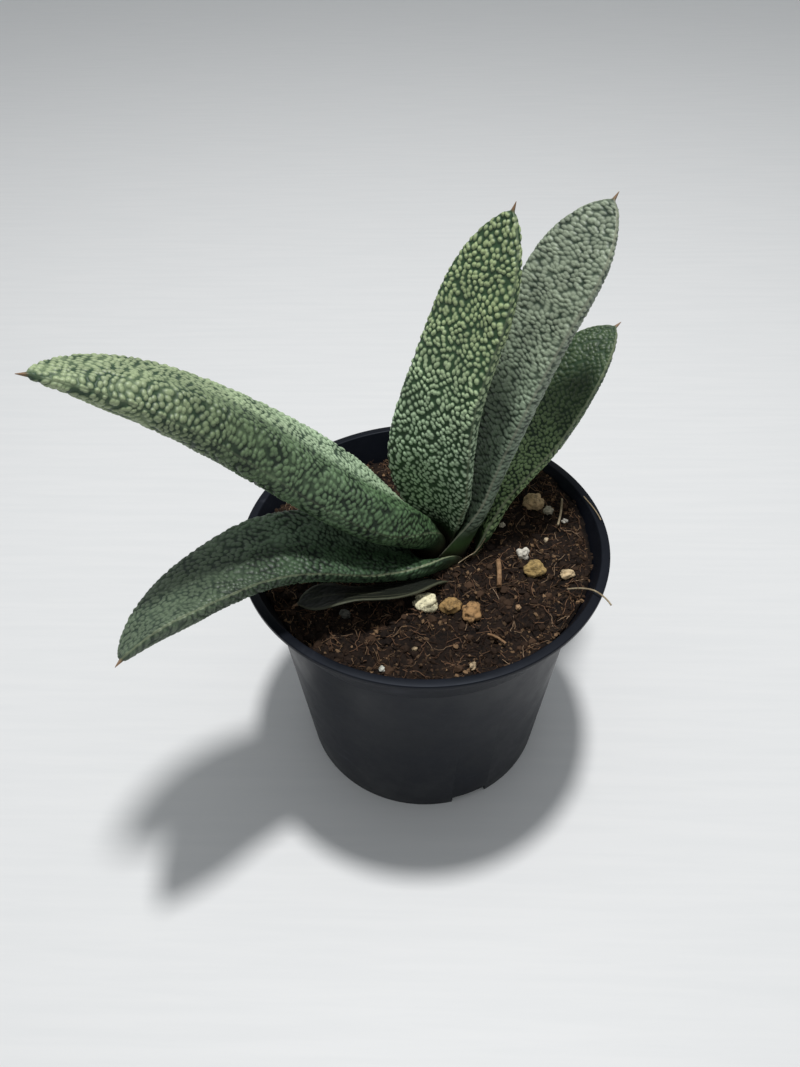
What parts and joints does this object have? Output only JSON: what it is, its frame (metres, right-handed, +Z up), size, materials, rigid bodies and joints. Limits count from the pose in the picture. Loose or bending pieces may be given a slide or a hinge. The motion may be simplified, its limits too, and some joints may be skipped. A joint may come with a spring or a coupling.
{
  "type": "potted gasteria",
  "caption": "Young succulent plant with thick warty tongue-shaped leaves in two ranks, standing in a round black nursery pot of fibrous soil.",
  "frame": {"origin": "centre of the pot's flat underside, on the pot's axis", "axes": "+Z up along the pot's axis; the two long left-hand leaves lean towards -X and -Y, the tall and the short right-hand leaves towards +X and +Y"},
  "size_m": [0.1151, 0.0976, 0.1492],
  "materials": {
    "pot_plastic": "thin moulded nursery-pot plastic, black, satin, lightly scuffed",
    "soil_peat": "damp fibrous peat, dark brown, matt",
    "stem_tissue": "pale fleshy crown, out of sight under the leaf bases",
    "leaf_upright_skin": "succulent skin, dark green with large pale round tubercles",
    "leaf_left_long_skin": "succulent skin, mid green with fused pale tubercles",
    "leaf_right_tall_skin": "succulent skin, grey-green with tubercles fused into cross ridges",
    "leaf_left_drooping_skin": "succulent skin, dark green with pale blotches towards the tip",
    "leaf_right_short_skin": "succulent skin, darkest green, fine low tubercles",
    "leaf_withered_skin": "dried thin old leaf, very dark olive, matt",
    "grain_white_large_stone": "rough porous mineral grain, off-white",
    "grain_tan_near_stone": "rough mineral grain, tan",
    "grain_orange_stone": "rough mineral grain, orange-brown",
    "grain_white_small_stone": "rough porous mineral grain, off-white",
    "grain_tan_large_stone": "rough mineral grain, ochre",
    "grain_cream_stone": "rough mineral grain, cream",
    "grain_tan_back_stone": "rough mineral grain, tan",
    "grain_grey_back_stone": "rough mineral grain, grey-tan"
  },
  "bodies": {
    "root": {"pot": "pot_plastic", "soil": "soil_peat", "stem": "stem_tissue", "leaf_upright": "leaf_upright_skin", "leaf_left_long": "leaf_left_long_skin", "leaf_right_tall": "leaf_right_tall_skin", "leaf_left_drooping": "leaf_left_drooping_skin", "leaf_right_short": "leaf_right_short_skin", "leaf_withered": "leaf_withered_skin", "grain_white_large": "grain_white_large_stone", "grain_tan_near": "grain_tan_near_stone", "grain_orange": "grain_orange_stone", "grain_white_small": "grain_white_small_stone", "grain_tan_large": "grain_tan_large_stone", "grain_cream": "grain_cream_stone", "grain_tan_back": "grain_tan_back_stone", "grain_grey_back": "grain_grey_back_stone"}
  },
  "joints": []
}
